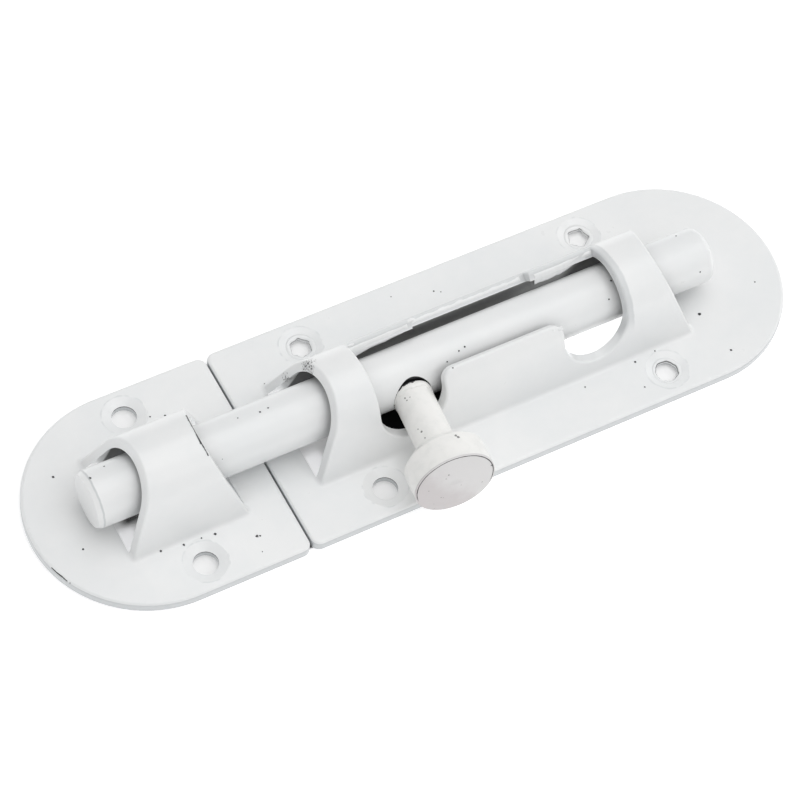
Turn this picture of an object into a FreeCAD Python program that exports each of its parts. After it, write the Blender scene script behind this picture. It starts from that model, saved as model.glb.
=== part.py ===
import FreeCAD, Part
import math
import os
import Sketcher

# Door bolt: a main plate with its pressed housing, a keeper plate with its bridge,
# a round bolt and the turned knob that is screwed into it.
# +X runs along the bolt away from the keeper, +Y towards the hinge side of the plates,
# +Z out of the door. The origin is the centre of the main plate's four screws, on the
# door's face.

doc = FreeCAD.newDocument("door_bolt")

# Driving dimensions in millimetres and degrees
SIZES = [
    ("sheet_thickness", 2.2),
    ("plate_width", 50.0),
    ("main_length", 122.6),
    ("keeper_length", 50.0),
    ("plate_gap", 0.3),
    ("square_corner_radius", 2.0),
    ("plate_edge_radius", 0.7),
    ("screw_spacing_along", 67.0),
    ("screw_side_margin", 6.3),
    ("main_screw_inset", 19.3),
    ("keeper_screw_inset", 20.8),
    ("screw_hole_diameter", 5.2),
    ("countersink_diameter", 9.2),
    ("countersink_angle", 140.0),
    ("bolt_diameter", 12.2),
    ("bolt_length", 142.85),
    ("bolt_reach", 38.35),
    ("bolt_rest_gap", 0.9),
    ("nose_chamfer_along", 1.1),
    ("nose_chamfer_across", 0.45),
    ("tail_radius", 1.6),
    ("main_guide_clearance", 2.1),
    ("keeper_guide_clearance", 1.8),
    ("ridge_thickness", 2.0),
    ("leg_angle", 72.0),
    ("end_slope_angle", 21.0),
    ("foot_fillet_radius", 1.2),
    ("rim_radius", 0.5),
    ("ridge_start", 7.6),
    ("ridge_end", 95.9),
    ("slot_start", 22.3),
    ("slot_end", 80.1),
    ("wall_top_angle", 48.5),
    ("lip_end_angle", 46.0),
    ("lip_middle_angle", 28.0),
    ("lip_step_start", 37.3),
    ("lip_step_end", 65.1),
    ("notch_width", 14.9),
    ("notch_floor_height", 5.3),
    ("wall_corner_radius", 2.5),
    ("keeper_ridge_length", 25.6),
    ("keeper_ridge_inset", 8.1),
    ("knob_place", 32.25),
    ("knob_reach", 29.2),
    ("knob_rise_angle", 5.7),
    ("knob_lean_angle", 6.8),
    ("stem_diameter", 8.25),
    ("stem_root_chamfer", 0.8),
    ("head_diameter", 17.1),
    ("head_thickness", 7.9),
    ("head_back_slope", 1.6),
    ("head_dome_height", 0.35),
    ("spigot_diameter", 6.0),
    ("spigot_length", 4.4),
    ("spigot_clearance", 0.02),
    ("spigot_seat_height", 4.6),
    ("recess_diameter", 8.5),
    ("hole_end_room", 0.5),
]

sheet = doc.addObject("Spreadsheet::Sheet", "sizes")
for row, (alias, value) in enumerate(SIZES, start=1):
    sheet.set(f"A{row}", alias)
    sheet.set(f"B{row}", str(value))
    sheet.setAlias(f"B{row}", alias)
doc.recompute()


def size(alias):
    """A driving dimension's value."""
    return float(sheet.get(alias))


# Sizes that follow from the driving ones, written as expressions of the sheet
HALF_WIDTH = "sizes.plate_width / 2"
BOLT_RADIUS = "sizes.bolt_diameter / 2"
AXIS_HEIGHT = "(sizes.sheet_thickness + sizes.bolt_rest_gap + sizes.bolt_diameter / 2)"
MAIN_INNER = "(sizes.bolt_diameter / 2 + sizes.main_guide_clearance)"
MAIN_OUTER = "(sizes.bolt_diameter / 2 + sizes.main_guide_clearance + sizes.ridge_thickness)"
KEEPER_INNER = "(sizes.bolt_diameter / 2 + sizes.keeper_guide_clearance)"
KEEPER_OUTER = "(sizes.bolt_diameter / 2 + sizes.keeper_guide_clearance + sizes.ridge_thickness)"
SCREW_SIDE = "(sizes.plate_width / 2 - sizes.screw_side_margin)"
SCREW_CENTRE = "(sizes.main_screw_inset + sizes.screw_spacing_along / 2)"
FIRST_NOTCH_END = "(sizes.slot_start + sizes.notch_width)"
SECOND_NOTCH_START = "(sizes.slot_end - sizes.notch_width)"


# A sketch's normal, the largest difference between equal lengths, and the points tried on an edge
UPWARD = FreeCAD.Vector(0, 0, 1)
SAME = 0.01
EDGE_SAMPLES = 5


def value_of(expression):
    """The number that an expression of the sheet gives now."""
    result = sheet.evalExpression(expression)
    return float(getattr(result, "Value", result))


def origin_plane(body, role):
    """One of a body's own origin planes, found by its role."""
    for feature in body.Origin.OriginFeatures:
        if feature.Role == role:
            return feature
    raise RuntimeError(f"{body.Name} has no {role}")


def new_body(name):
    """A sub-part with its label."""
    body = doc.addObject("PartDesign::Body", name)
    body.Label = name
    return body


def new_sketch(body, name, role, offset=None):
    """A sketch on a body's origin plane, moved along the plane's normal by an expression."""
    sketch = body.newObject("Sketcher::SketchObject", name)
    sketch.AttachmentSupport = [(origin_plane(body, role), "")]
    sketch.MapMode = "FlatFace"
    if offset is not None:
        sketch.setExpression("AttachmentOffset.Base.z", offset)
    return sketch


def point(across, up):
    """A point in a sketch's own plane."""
    return FreeCAD.Vector(across, up, 0)


def new_line(sketch, start, end):
    """A straight edge of a sketch between two points."""
    return sketch.addGeometry(Part.LineSegment(point(*start), point(*end)), False)


def dimension(sketch, kind, references, expression):
    """A dimension constraint that is bound to the sheet."""
    number = value_of(expression)
    if kind == "Angle":
        number = math.radians(number)
    index = sketch.addConstraint(Sketcher.Constraint(kind, *references, number))
    if kind == "Angle":
        expression = f"({expression}) * 1deg"
    else:
        expression = f"({expression}) * 1mm"
    sketch.setExpression(f"Constraints[{index}]", expression)


def place_point(sketch, edge, end, across, up):
    """Tie an edge's end to the sketch's origin by its two coordinates, as expressions."""
    for kind, expression in (("DistanceX", across), ("DistanceY", up)):
        dimension(sketch, kind, (-1, 1, edge, end), expression)


def closed_lines(sketch, corners):
    """A closed outline of straight edges through corners, each given as two expressions."""
    places = [(value_of(across), value_of(up)) for across, up in corners]
    count = len(places)
    edges = []
    for index in range(count):
        edges.append(new_line(sketch, places[index], places[(index + 1) % count]))
    for index in range(count):
        following = edges[(index + 1) % count]
        sketch.addConstraint(Sketcher.Constraint("Coincident", edges[index], 2, following, 1))
    for index, (across, up) in enumerate(corners):
        place_point(sketch, edges[index], 1, across, up)
    return edges


def solid_volume(body):
    """A body's volume after a recompute."""
    doc.recompute()
    return body.Shape.Volume


def new_pad(body, sketch, name, length):
    """Pad a sketch along its normal."""
    pad = body.newObject("PartDesign::Pad", name)
    pad.Profile = sketch
    pad.setExpression("Length", length)
    sketch.Visibility = False
    doc.recompute()
    return pad


def new_pocket(body, sketch, name, length, forward, both_sides=False):
    """Cut a sketch out of a body, forward along its normal or backward, and see that it cut."""
    before = solid_volume(body)
    pocket = body.newObject("PartDesign::Pocket", name)
    pocket.Profile = sketch
    pocket.setExpression("Length", length)
    pocket.SideType = "Symmetric" if both_sides else "One side"
    pocket.Reversed = forward
    sketch.Visibility = False
    if solid_volume(body) >= before:
        raise RuntimeError(f"{name} cut nothing")
    return pocket


def edge_names(body, wanted):
    """The names of a body's edges that a test picks, in the body's own frame."""
    shape = body.Tip.Shape
    return [f"Edge{i}" for i, edge in enumerate(shape.Edges, start=1) if wanted(edge)]


def new_fillet(body, name, radius, wanted):
    """Round the edges that a test picks."""
    doc.recompute()
    base = body.Tip
    names = edge_names(body, wanted)
    if not names:
        raise RuntimeError(f"{name} found no edge")
    fillet = body.newObject("PartDesign::Fillet", name)
    fillet.Base = (base, names)
    fillet.setExpression("Radius", radius)
    doc.recompute()
    return fillet


def near(first, second):
    """Whether two lengths are the same."""
    return abs(first - second) < SAME


def plate_outline(body, name, length, direction):
    """A plate with one square end at the origin and one round end, towards +X or -X."""
    sketch = new_sketch(body, name, "XY_Plane")
    half = value_of(HALF_WIDTH)
    straight = direction * (value_of(length) - half)
    lower = new_line(sketch, (0, -half), (straight, -half))
    start = -math.pi / 2 if direction > 0 else math.pi / 2
    circle = Part.Circle(point(straight, 0), UPWARD, half)
    arc = sketch.addGeometry(Part.ArcOfCircle(circle, start, start + math.pi), False)
    upper = new_line(sketch, (straight, half), (0, half))
    square = new_line(sketch, (0, half), (0, -half))
    lower_end, upper_end = (1, 2) if direction > 0 else (2, 1)
    sketch.addConstraint(Sketcher.Constraint("Tangent", lower, 2, arc, lower_end))
    sketch.addConstraint(Sketcher.Constraint("Tangent", upper, 1, arc, upper_end))
    sketch.addConstraint(Sketcher.Constraint("Coincident", upper, 2, square, 1))
    sketch.addConstraint(Sketcher.Constraint("Coincident", square, 2, lower, 1))
    sketch.addConstraint(Sketcher.Constraint("Horizontal", lower))
    sketch.addConstraint(Sketcher.Constraint("Horizontal", upper))
    place_point(sketch, square, 1, "0", HALF_WIDTH)
    sketch.addConstraint(Sketcher.Constraint("PointOnObject", square, 2, -2))
    sketch.addConstraint(Sketcher.Constraint("PointOnObject", arc, 3, -1))
    sign = "" if direction > 0 else "-1 * "
    dimension(sketch, "DistanceX", (-1, 1, arc, 3), f"{sign}({length} - {HALF_WIDTH})")
    return sketch


def ridge_section(radius, foot):
    """A ridge section's half width and height where its arch meets its legs, and half width at foot."""
    lean = math.radians(size("leg_angle"))
    side = radius * math.sin(lean)
    shoulder = value_of(AXIS_HEIGHT) + radius * math.cos(lean)
    foot_side = side + (shoulder - foot) / math.tan(lean)
    return side, shoulder, foot_side


def arch_outline(body, name, radius, foot_height, offset):
    """A ridge's section: an arch round the bolt's axis on two straight slanted legs."""
    sketch = new_sketch(body, name, "YZ_Plane", offset)
    reach = value_of(radius)
    foot = value_of(foot_height)
    lean = math.radians(size("leg_angle"))
    side, shoulder, foot_side = ridge_section(reach, foot)
    circle = Part.Circle(point(0, value_of(AXIS_HEIGHT)), UPWARD, reach)
    arc_shape = Part.ArcOfCircle(circle, math.pi / 2 - lean, math.pi / 2 + lean)
    arc = sketch.addGeometry(arc_shape, False)
    left = new_line(sketch, (-side, shoulder), (-foot_side, foot))
    base = new_line(sketch, (-foot_side, foot), (foot_side, foot))
    right = new_line(sketch, (foot_side, foot), (side, shoulder))
    sketch.addConstraint(Sketcher.Constraint("Tangent", arc, 2, left, 1))
    sketch.addConstraint(Sketcher.Constraint("Coincident", left, 2, base, 1))
    sketch.addConstraint(Sketcher.Constraint("Coincident", base, 2, right, 1))
    sketch.addConstraint(Sketcher.Constraint("Tangent", right, 2, arc, 1))
    sketch.addConstraint(Sketcher.Constraint("Horizontal", base))
    place_point(sketch, arc, 3, "0", AXIS_HEIGHT)
    dimension(sketch, "Radius", (arc,), radius)
    dimension(sketch, "DistanceY", (-1, 1, base, 1), foot_height)
    dimension(sketch, "Angle", (base, 1, left, 2), "sizes.leg_angle")
    dimension(sketch, "Angle", (right, 1, base, 2), "sizes.leg_angle")
    return sketch


def cut_ends(body, name, start, end, radius):
    """Cut both ends of a ridge to a slope, so that it is longer at its feet than at its crown."""
    sketch = new_sketch(body, f"{name}_outline", "XZ_Plane")
    foot = "sizes.sheet_thickness"
    top = f"({AXIS_HEIGHT} + {radius} + {foot})"
    run = f"({top} - {foot}) * tan(sizes.end_slope_angle * 1deg)"
    closed_lines(
        sketch,
        [
            (f"{start} - {foot}", foot),
            (start, foot),
            (f"{start} + {run}", top),
            (f"{start} - {foot}", top),
        ],
    )
    closed_lines(
        sketch,
        [
            (end, foot),
            (f"{end} + {foot}", foot),
            (f"{end} + {foot}", top),
            (f"{end} - {run}", top),
        ],
    )
    new_pocket(body, sketch, name, "sizes.plate_width", False, both_sides=True)


def is_end_rim(edge, start, end):
    """Whether an edge rises from the sheet in a ridge's sloped end."""
    slope = math.tan(math.radians(size("end_slope_angle")))
    foot = size("sheet_thickness")
    places = edge.discretize(EDGE_SAMPLES)
    rises = edge.BoundBox.ZMax > foot + SAME
    at_start = all(near(place.x, start + (place.z - foot) * slope) for place in places)
    at_end = all(near(place.x, end - (place.z - foot) * slope) for place in places)
    return rises and (at_start or at_end)


def is_foot_line(edge, radius):
    """Whether an edge is the straight line along the foot of a ridge's leg."""
    box = edge.BoundBox
    foot = size("sheet_thickness")
    foot_side = ridge_section(radius, foot)[2]
    level = near(box.ZMin, foot) and near(box.ZMax, foot)
    return level and near(box.YMin, box.YMax) and near(abs(box.YMax), foot_side)


def make_ridge(body, name, start, end, inner, outer):
    """Raise a ridge from a sheet: sloped ends, soft rims and feet, hollow from mouth to mouth."""
    ridge = arch_outline(body, f"{name}_outline", outer, "sizes.sheet_thickness", start)
    new_pad(body, ridge, name, f"{end} - {start}")
    cut_ends(body, f"{name}_ends", start, end, outer)
    first = value_of(start)
    last = value_of(end)
    radius = value_of(outer)
    new_fillet(body, f"{name}_rims", "sizes.rim_radius", lambda e: is_end_rim(e, first, last))
    new_fillet(body, f"{name}_feet", "sizes.foot_fillet_radius", lambda e: is_foot_line(e, radius))
    hollow = arch_outline(body, f"{name}_hollow_outline", inner, "-sizes.sheet_thickness", start)
    new_pocket(body, hollow, f"{name}_hollow", f"{end} - {start}", True)
    room = "sizes.foot_fillet_radius"
    mouth = arch_outline(body, f"{name}_mouth_outline", inner, "sizes.sheet_thickness", f"{start} - {room}")
    new_pocket(body, mouth, f"{name}_mouths", f"{end} - {start} + 2 * {room}", True)


def screw_holes(body, name, places):
    """Countersunk screw holes through a plate, at places given as two expressions each."""
    sketch = new_sketch(body, name, "XY_Plane", "sizes.sheet_thickness")
    radius = size("screw_hole_diameter") / 2
    for across, up in places:
        centre = point(value_of(across), value_of(up))
        edge = sketch.addGeometry(Part.Circle(centre, UPWARD, radius), False)
        place_point(sketch, edge, 3, across, up)
        dimension(sketch, "Radius", (edge,), "sizes.screw_hole_diameter / 2")
    before = solid_volume(body)
    hole = body.newObject("PartDesign::Hole", f"{name}_hole")
    hole.Profile = sketch
    doc.recompute()
    hole.ThreadType = "None"
    hole.DepthType = "ThroughAll"
    hole.setExpression("Diameter", "sizes.screw_hole_diameter")
    hole.HoleCutType = "Countersink"
    hole.HoleCutCustomValues = True
    hole.setExpression("HoleCutDiameter", "sizes.countersink_diameter")
    hole.setExpression("HoleCutCountersinkAngle", "sizes.countersink_angle")
    sketch.Visibility = False
    if solid_volume(body) >= before:
        raise RuntimeError(f"{name} cut nothing")


def is_plate_rim(edge):
    """Whether an edge runs round the top of a plate's outline."""
    box = edge.BoundBox
    top = size("sheet_thickness")
    half = size("plate_width") / 2
    level = near(box.ZMin, top) and near(box.ZMax, top)
    side = near(box.YMax, half) or near(box.YMin, -half)
    square_end = near(box.XMin, 0) or near(box.XMax, 0)
    return level and (side or square_end)


def is_square_corner(edge):
    """Whether an edge stands at a corner of a plate's square end, which lies at x = 0."""
    box = edge.BoundBox
    return near(box.XMin, 0) and near(box.XMax, 0) and near(box.ZLength, size("sheet_thickness"))


def make_sheet(body, name, length, direction):
    """The flat sheet of a plate, with the corners of its square end rounded."""
    outline = plate_outline(body, f"{name}_outline", length, direction)
    new_pad(body, outline, name, "sizes.sheet_thickness")
    new_fillet(body, f"{name}_corners", "sizes.square_corner_radius", is_square_corner)


def slot_cut(body, name, start, end, lip_angle):
    """Open the crown of the ridge between the front wall's top and the back lip."""
    sketch = new_sketch(body, f"{name}_outline", "YZ_Plane", start)
    reach = f"({MAIN_OUTER} + sizes.ridge_thickness)"
    top = f"({AXIS_HEIGHT} + {reach})"
    wall = "sizes.wall_top_angle * 1deg"
    lip = f"{lip_angle} * 1deg"
    closed_lines(
        sketch,
        [
            ("0", AXIS_HEIGHT),
            (f"{reach} * cos({lip})", f"{AXIS_HEIGHT} + {reach} * sin({lip})"),
            (f"{reach} * cos({lip})", top),
            (f"-{reach} * cos({wall})", top),
            (f"-{reach} * cos({wall})", f"{AXIS_HEIGHT} + {reach} * sin({wall})"),
        ],
    )
    new_pocket(body, sketch, name, f"{end} - {start}", True)


def notch_outline(sketch, centre):
    """One upright notch with a round floor, from the floor's height to above the ridge."""
    radius = "sizes.notch_width / 2"
    low = f"(sizes.notch_floor_height + {radius})"
    top = f"({AXIS_HEIGHT} + {MAIN_OUTER} + sizes.ridge_thickness)"
    half = value_of(radius)
    middle = value_of(centre)
    shoulder = value_of(low)
    ceiling = value_of(top)
    circle = Part.Circle(point(middle, shoulder), UPWARD, half)
    arc = sketch.addGeometry(Part.ArcOfCircle(circle, math.pi, 2 * math.pi), False)
    right = new_line(sketch, (middle + half, shoulder), (middle + half, ceiling))
    lid = new_line(sketch, (middle + half, ceiling), (middle - half, ceiling))
    left = new_line(sketch, (middle - half, ceiling), (middle - half, shoulder))
    sketch.addConstraint(Sketcher.Constraint("Tangent", arc, 2, right, 1))
    sketch.addConstraint(Sketcher.Constraint("Coincident", right, 2, lid, 1))
    sketch.addConstraint(Sketcher.Constraint("Coincident", lid, 2, left, 1))
    sketch.addConstraint(Sketcher.Constraint("Tangent", left, 2, arc, 1))
    sketch.addConstraint(Sketcher.Constraint("Vertical", right))
    sketch.addConstraint(Sketcher.Constraint("Vertical", left))
    sketch.addConstraint(Sketcher.Constraint("Horizontal", lid))
    place_point(sketch, arc, 3, centre, low)
    dimension(sketch, "Radius", (arc,), radius)
    dimension(sketch, "DistanceY", (-1, 1, lid, 1), top)


def cut_notches(body):
    """Cut the notches at both ends of the front wall, where the knob's stem locks."""
    sketch = new_sketch(body, "notches_outline", "XZ_Plane")
    notch_outline(sketch, f"({FIRST_NOTCH_END} - sizes.notch_width / 2)")
    notch_outline(sketch, f"({SECOND_NOTCH_START} + sizes.notch_width / 2)")
    new_pocket(body, sketch, "notches", "sizes.plate_width / 2", True)


def is_wall_corner(edge):
    """Whether an edge crosses the sheet at one of the two top corners of the front wall."""
    box = edge.BoundBox
    tangent = math.tan(math.radians(size("wall_top_angle")))
    axis = value_of(AXIS_HEIGHT)
    ends = (value_of(FIRST_NOTCH_END), value_of(SECOND_NOTCH_START))
    crossing = near(box.XMin, box.XMax) and any(near(box.XMin, end) for end in ends)
    return crossing and all(
        near(place.z - axis, -place.y * tangent) for place in edge.discretize(EDGE_SAMPLES)
    )


def is_opening_rim(edge):
    """Whether an edge of the slot or of a notch lies on the ridge's outer surface."""
    box = edge.BoundBox
    radius = value_of(MAIN_OUTER)
    axis = value_of(AXIS_HEIGHT)
    lean = math.radians(size("leg_angle"))
    shoulder = ridge_section(radius, size("sheet_thickness"))[1]
    seam = near(box.ZMin, shoulder) and near(box.ZMax, shoulder)
    inside = box.XMin > size("slot_start") - SAME and box.XMax < size("slot_end") + SAME
    places = edge.discretize(EDGE_SAMPLES)
    for place in places:
        across = abs(place.y)
        up = place.z - axis
        if place.z > shoulder:
            reach = math.hypot(across, up)
        else:
            reach = across * math.sin(lean) + up * math.cos(lean)
        if not near(reach, radius):
            return False
    return inside and not seam


def make_main_plate():
    """The main plate: one pressed sheet with two bridges, a slot, two notches and its screw holes."""
    body = new_body("main_plate")
    make_sheet(body, "main_sheet", "sizes.main_length", 1)
    make_ridge(body, "main_ridge", "sizes.ridge_start", "sizes.ridge_end", MAIN_INNER, MAIN_OUTER)
    slot_cut(body, "slot", "sizes.slot_start", "sizes.slot_end", "sizes.lip_end_angle")
    slot_cut(body, "lip_step", "sizes.lip_step_start", "sizes.lip_step_end", "sizes.lip_middle_angle")
    cut_notches(body)
    new_fillet(body, "wall_corners", "sizes.wall_corner_radius", is_wall_corner)
    new_fillet(body, "opening_rims", "sizes.rim_radius", is_opening_rim)
    along = ["sizes.main_screw_inset", "sizes.main_screw_inset + sizes.screw_spacing_along"]
    across = [f"-{SCREW_SIDE}", SCREW_SIDE]
    screw_holes(body, "main_screws", [(x, y) for x in along for y in across])
    new_fillet(body, "main_edge", "sizes.plate_edge_radius", is_plate_rim)
    body.setExpression("Placement.Base.x", f"-{SCREW_CENTRE} * 1mm")
    return body


def make_keeper_plate():
    """The keeper: a sheet with one round end and the bridge that holds the bolt's nose."""
    body = new_body("keeper_plate")
    make_sheet(body, "keeper_sheet", "sizes.keeper_length", -1)
    start = "-(sizes.keeper_ridge_inset + sizes.keeper_ridge_length)"
    make_ridge(body, "keeper_ridge", start, "-sizes.keeper_ridge_inset", KEEPER_INNER, KEEPER_OUTER)
    across = [f"-{SCREW_SIDE}", SCREW_SIDE]
    screw_holes(body, "keeper_screws", [("-sizes.keeper_screw_inset", y) for y in across])
    new_fillet(body, "keeper_edge", "sizes.plate_edge_radius", is_plate_rim)
    body.setExpression("Placement.Base.x", f"-({SCREW_CENTRE} + sizes.plate_gap) * 1mm")
    return body


def set_bolt_placement(body):
    """Put a piece on the bolt's axis where the knob stands, turned as far as the knob is raised."""
    turn = FreeCAD.Rotation(FreeCAD.Vector(-1, 0, 0), size("knob_rise_angle"))
    body.Placement = FreeCAD.Placement(FreeCAD.Vector(0, 0, 0), turn)
    body.setExpression("Placement.Base.x", f"(sizes.knob_place - {SCREW_CENTRE}) * 1mm")
    body.setExpression("Placement.Base.z", f"{AXIS_HEIGHT} * 1mm")
    body.setExpression("Placement.Rotation.Angle", "sizes.knob_rise_angle * 1deg")


def lean_sketch(sketch):
    """Turn a sketch in the bolt's own plane until its upright axis is the knob's axis."""
    sketch.setExpression("AttachmentOffset.Rotation.Angle", "(180 - sizes.knob_lean_angle) * 1deg")


def make_bolt():
    """The round bolt, chamfered at its nose, rounded at its tail, with a stepped hole for the knob."""
    body = new_body("bolt")
    nose = "-(sizes.knob_place + sizes.bolt_reach)"
    tail = f"({nose} + sizes.bolt_length)"
    sketch = new_sketch(body, "bolt_outline", "XY_Plane")
    closed_lines(
        sketch,
        [
            (nose, "0"),
            (nose, f"{BOLT_RADIUS} - sizes.nose_chamfer_across"),
            (f"{nose} + sizes.nose_chamfer_along", BOLT_RADIUS),
            (tail, BOLT_RADIUS),
            (tail, "0"),
        ],
    )
    turning = body.newObject("PartDesign::Revolution", "bolt_bar")
    turning.Profile = sketch
    turning.ReferenceAxis = (sketch, ["H_Axis"])
    turning.Angle = 360
    sketch.Visibility = False
    tail_place = value_of(tail)
    new_fillet(body, "bolt_tail", "sizes.tail_radius", lambda e: near(e.BoundBox.XMin, tail_place))
    hole = new_sketch(body, "knob_hole_outline", "XY_Plane")
    lean_sketch(hole)
    floor = "(sizes.spigot_seat_height - sizes.spigot_length - sizes.hole_end_room)"
    outside = f"({BOLT_RADIUS} + sizes.hole_end_room)"
    closed_lines(
        hole,
        [
            ("0", floor),
            ("sizes.spigot_diameter / 2", floor),
            ("sizes.spigot_diameter / 2", "sizes.spigot_seat_height"),
            ("sizes.recess_diameter / 2", "sizes.spigot_seat_height"),
            ("sizes.recess_diameter / 2", outside),
            ("0", outside),
        ],
    )
    before = solid_volume(body)
    groove = body.newObject("PartDesign::Groove", "knob_hole")
    groove.Profile = hole
    groove.ReferenceAxis = (hole, ["V_Axis"])
    groove.Angle = 360
    hole.Visibility = False
    if solid_volume(body) >= before:
        raise RuntimeError("knob_hole cut nothing")
    set_bolt_placement(body)
    return body


def make_knob():
    """The turned knob: a spigot in the bolt, a stem and a thick round head with a low dome."""
    body = new_body("knob")
    sketch = new_sketch(body, "knob_outline", "XY_Plane")
    lean_sketch(sketch)
    stem = "sizes.stem_diameter / 2"
    spigot = "(sizes.spigot_diameter / 2 - sizes.spigot_clearance)"
    rim = "sizes.head_diameter / 2"
    seat = "sizes.spigot_seat_height"
    face = "(sizes.knob_reach - sizes.head_dome_height)"
    back = "(sizes.knob_reach - sizes.head_thickness)"
    corners = [
        ("0", f"{seat} - sizes.spigot_length"),
        (spigot, f"{seat} - sizes.spigot_length"),
        (spigot, seat),
        (f"{stem} - sizes.stem_root_chamfer", seat),
        (stem, f"{seat} + sizes.stem_root_chamfer"),
        (stem, back),
        (f"{rim} - sizes.head_back_slope", back),
        (rim, f"{back} + sizes.head_back_slope"),
        (rim, face),
    ]
    places = [(value_of(across), value_of(up)) for across, up in corners]
    edges = [new_line(sketch, first, second) for first, second in zip(places, places[1:])]
    reach = value_of(rim)
    rise = size("head_dome_height")
    top = size("knob_reach")
    dome_radius = (reach * reach + rise * rise) / (2 * rise)
    sweep = math.asin(reach / dome_radius)
    circle = Part.Circle(point(0, top - dome_radius), UPWARD, dome_radius)
    dome_shape = Part.ArcOfCircle(circle, math.pi / 2 - sweep, math.pi / 2)
    dome = sketch.addGeometry(dome_shape, False)
    axis = new_line(sketch, (0, top), places[0])
    for index in range(len(edges) - 1):
        sketch.addConstraint(Sketcher.Constraint("Coincident", edges[index], 2, edges[index + 1], 1))
    sketch.addConstraint(Sketcher.Constraint("Coincident", edges[-1], 2, dome, 1))
    sketch.addConstraint(Sketcher.Constraint("Coincident", dome, 2, axis, 1))
    sketch.addConstraint(Sketcher.Constraint("Coincident", axis, 2, edges[0], 1))
    for index, (across, up) in enumerate(corners[:-1]):
        place_point(sketch, edges[index], 1, across, up)
    place_point(sketch, edges[-1], 2, *corners[-1])
    place_point(sketch, dome, 2, "0", "sizes.knob_reach")
    sketch.addConstraint(Sketcher.Constraint("PointOnObject", dome, 3, -2))
    turning = body.newObject("PartDesign::Revolution", "knob_bar")
    turning.Profile = sketch
    turning.ReferenceAxis = (sketch, ["V_Axis"])
    turning.Angle = 360
    sketch.Visibility = False
    doc.recompute()
    set_bolt_placement(body)
    return body


parts = [make_main_plate(), make_keeper_plate(), make_bolt(), make_knob()]
doc.recompute()

for item in doc.Objects:
    if "Invalid" in item.State or "Error" in item.State:
        raise RuntimeError(f"{item.Label} failed: {item.State}")
for item in parts:
    if item.Shape.isNull() or not item.Shape.isValid() or len(item.Shape.Solids) != 1:
        raise RuntimeError(f"{item.Label} has no valid solid")

os.makedirs("parts", exist_ok=True)
for item in parts:
    item.Shape.exportStep(f"parts/{item.Label}.step")
    print(item.Label, round(item.Shape.Volume, 1), item.Shape.BoundBox)
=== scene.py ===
import math
import bmesh
import bpy
from mathutils import Matrix, Vector, noise


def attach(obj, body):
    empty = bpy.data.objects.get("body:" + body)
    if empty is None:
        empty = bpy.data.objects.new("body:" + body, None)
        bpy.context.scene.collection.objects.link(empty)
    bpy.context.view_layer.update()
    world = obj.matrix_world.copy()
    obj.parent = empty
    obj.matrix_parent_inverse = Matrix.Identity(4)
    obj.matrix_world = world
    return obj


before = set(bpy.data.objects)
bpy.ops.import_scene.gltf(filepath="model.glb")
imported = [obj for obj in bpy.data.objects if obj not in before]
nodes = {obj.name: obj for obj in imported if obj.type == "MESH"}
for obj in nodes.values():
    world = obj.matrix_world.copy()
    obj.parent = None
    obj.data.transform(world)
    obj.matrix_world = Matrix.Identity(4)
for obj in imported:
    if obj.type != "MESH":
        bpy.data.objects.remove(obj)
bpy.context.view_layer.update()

# The finishes and the small pieces are worked out in millimetres, the scene in metres
MM_PER_METRE = 1000.0

# Camera, solved from the plates' outlines and the six screw holes of the photograph
IMAGE_SIDE_PX = 800
FOCAL_PX = 3096.7
SENSOR_MM = 36.0
CAMERA_AZIMUTH = math.radians(-36.62)
CAMERA_ELEVATION = math.radians(57.44)
CAMERA_ROLL = math.radians(9.92)
CAMERA_DISTANCE = 0.63924
CAMERA_TARGET = Vector((-0.020236, -0.00062, 0.0))
CLIP_START = 0.05

# Sizes of the object that the finishes and the small pieces need, in millimetres
PLATES = (-103.1, 69.8)
PLATE_WIDTH = 50.0
PLATE_GAP = (-53.1, -52.8)
BAR_AXIS_HEIGHT = 9.2
RIDGE_HALF_WIDTH = 11.5
RIDGE_MIDDLE_RADIUS = 9.2
SLOT = (-30.4, 27.2)
SLOT_WIDE_PART = (-15.5, 12.3)
SECOND_NOTCH = (14.0, 33.0)
LIP_ANGLE = math.radians(44.0)
LIP_WIDE_ANGLE = math.radians(62.0)
HOLE_RADIUS = 2.6
MAIN_HOLES = ((-33.5, 18.7), (-33.5, -18.7), (33.5, 18.7), (33.5, -18.7))
KEEPER_HOLES = ((-73.9, 18.7), (-73.9, -18.7))
RECESS_RADIUS = 4.25
NOSE_EDGE = -90.05
KNOB_ROOT = Vector((-20.55, 0.0, 9.2))
KNOB_AXIS = Vector((-0.1184, -0.9881, 0.0986)).normalized()
KNOB_REACH = 29.2
STEM_RADIUS = 4.125
HEAD_RADIUS = 8.55

# Where the finishes change, in millimetres: painted shade inside the bridges, in the gap, in the screw holes,
# on the floor and on the knob face's side away from the light, painted light on the floor in the bridges'
# mouths, the ring round a countersink, the worn rim, and the torn end of the knob's enamel
DARK_RUNS = ((-82.6, -74.0), (-40.4, 40.0))
GAP_MARGIN = 0.12
HOLE_SHADE = (1.15, 1.30)
MOUTH_FLOORS = ((-88.5, -84.0), (-64.5, -58.5), (-47.5, -42.0))
RING_RADIUS = 4.7
RIM_GREY_WIDTH = 1.7
TORN_END = 4.05
TORN_SIDE = Vector((-0.8, 0.0, 0.6))
FACE_LIGHT_SIDE = Vector((0.75, 0.0, 0.66))
BURR_GAP = 1.0

# How finely the small pieces of paint are made: sides round an opening, and millimetres along the slot
HOLE_PAINT_SIDES = 48
ROOT_PAINT_SIDES = 64
BURR_STEP = 0.2

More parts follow.
